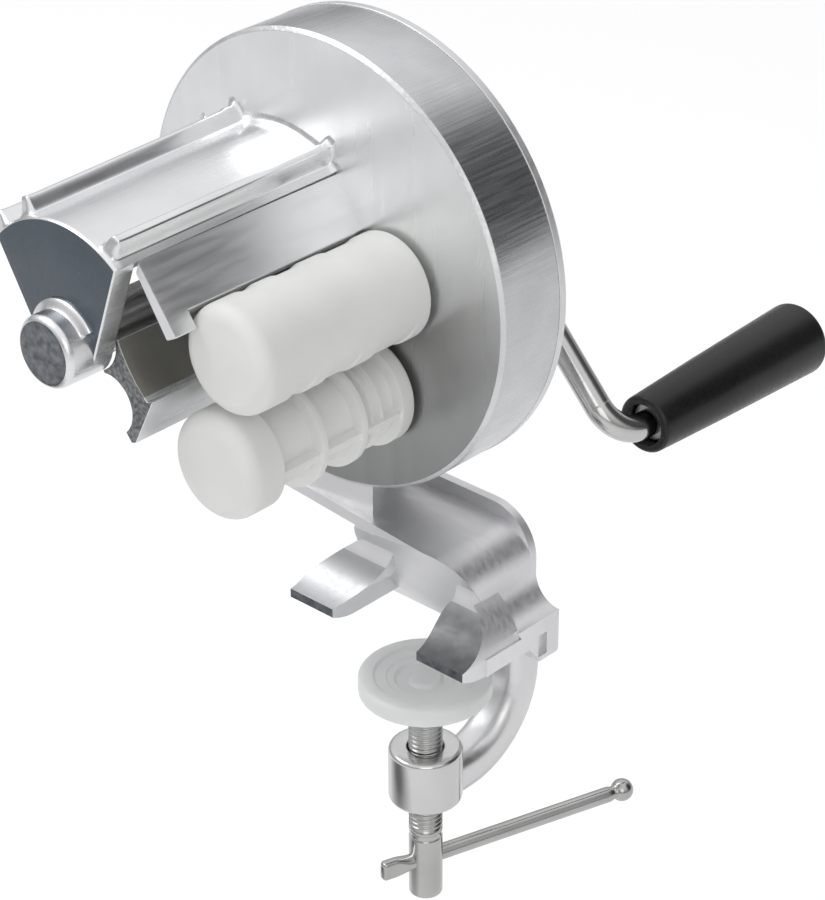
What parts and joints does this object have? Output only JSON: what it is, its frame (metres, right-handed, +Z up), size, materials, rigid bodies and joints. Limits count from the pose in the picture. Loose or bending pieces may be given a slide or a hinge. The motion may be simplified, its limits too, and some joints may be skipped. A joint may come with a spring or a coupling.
{
  "type": "hand cranked cavatelli maker",
  "caption": "Hand cranked pasta forming machine: drum gear housing on a table clamp, paired dough rollers feeding a hooded rotary cutter, bent rod crank with a tapered grip.",
  "frame": {"origin": "where the clamp screw's axis meets the clamp's seat plane, which rests on the table top", "axes": "+Z up along the clamp screw, +Y towards the crank and away from the table, +X to the right as seen from the rollers' free ends"},
  "size_m": [0.13, 0.241, 0.262],
  "materials": {
    "polished_casting": "polished casting, brushed on the rim",
    "satin_casting": "satin casting with fine grinding marks",
    "plated_steel": "bright plated steel",
    "steel": "turned steel",
    "gear_steel": "cut steel",
    "stainless_blades": "ground stainless steel",
    "bronze": "sintered bronze",
    "white_plastic": "milky white, slightly translucent",
    "pad_plastic": "milky white, slightly translucent",
    "black_plastic": "satin black"
  },
  "bodies": {
    "frame": {"gear_housing": "polished_casting", "back_cover": "polished_casting", "cover_screws": "steel", "cutter_hood": "satin_casting", "forming_jaw": "satin_casting", "clamp_bracket": "satin_casting", "clamp_arm": "satin_casting", "plate_bush": "bronze", "wall_bush": "bronze", "crank_bush": "bronze", "upper_roller_bush": "bronze", "lower_roller_bush": "bronze", "idler_pin": "steel", "idler_clip": "steel"},
    "crank": {"cutter_shaft": "steel", "cutter_blades": "stainless_blades", "cutter_pinion": "gear_steel", "crank_hub": "plated_steel", "hub_grub_screws": "steel", "crank_rod": "plated_steel", "grip_stop_ring": "steel", "grip_push_nut": "steel"},
    "grip": {"grip": "black_plastic", "grip_end_cap": "black_plastic"},
    "idler": {"idler_gear": "gear_steel"},
    "upper_roller": {"upper_roller": "white_plastic", "upper_roller_shaft": "steel", "upper_roller_gear": "gear_steel", "upper_timing_gear": "gear_steel", "upper_shaft_clip": "steel"},
    "lower_roller": {"lower_roller": "white_plastic", "lower_roller_shaft": "steel", "lower_timing_gear": "gear_steel", "lower_shaft_clip": "steel"},
    "pad": {"clamp_pad": "pad_plastic"},
    "screw": {"clamp_screw": "plated_steel"},
    "tommy_bar": {"tommy_bar": "plated_steel"}
  },
  "joints": [
    {"name": "crank_spin", "type": "hinge", "parent": "frame", "child": "crank", "pos_m": [-0.0448, 0, 0.1028], "axis": [0, 1, 0], "continuous": true},
    {"name": "grip_spin", "type": "hinge", "parent": "crank", "child": "grip", "pos_m": [0.01652, 0, 0.03692], "axis": [0, 1, 0], "continuous": true},
    {"name": "idler_spin", "type": "hinge", "parent": "frame", "child": "idler", "pos_m": [-0.04355, 0, 0.13353], "axis": [0, 1, 0], "continuous": true},
    {"name": "upper_roller_spin", "type": "hinge", "parent": "frame", "child": "upper_roller", "pos_m": [-0.0038, 0, 0.1053], "axis": [0, 1, 0], "continuous": true},
    {"name": "lower_roller_spin", "type": "hinge", "parent": "frame", "child": "lower_roller", "pos_m": [-0.00981, 0, 0.07285], "axis": [0, 1, 0], "continuous": true},
    {"name": "pad_lift", "type": "slide", "parent": "frame", "child": "pad", "axis": [0, 0, 1], "range_m": [-0.018, 0.0068]},
    {"name": "screw_turn", "type": "hinge", "parent": "pad", "child": "screw", "pos_m": [0, 0, -0.05], "axis": [0, 0, 1], "range_deg": [-4330, 1640]},
    {"name": "bar_slide", "type": "slide", "parent": "screw", "child": "tommy_bar", "axis": [0.3132, 0.9497, 0], "range_m": [-0.0584, 0.0004]}
  ],
  "couplings": [
    {"joint": "idler_spin", "follows": "crank_spin", "ratio": -0.41379},
    {"joint": "upper_roller_spin", "follows": "crank_spin", "ratio": 0.33333},
    {"joint": "lower_roller_spin", "follows": "crank_spin", "ratio": -0.33333},
    {"joint": "screw_turn", "follows": "pad_lift", "rad_per_m": 4188.8}
  ]
}
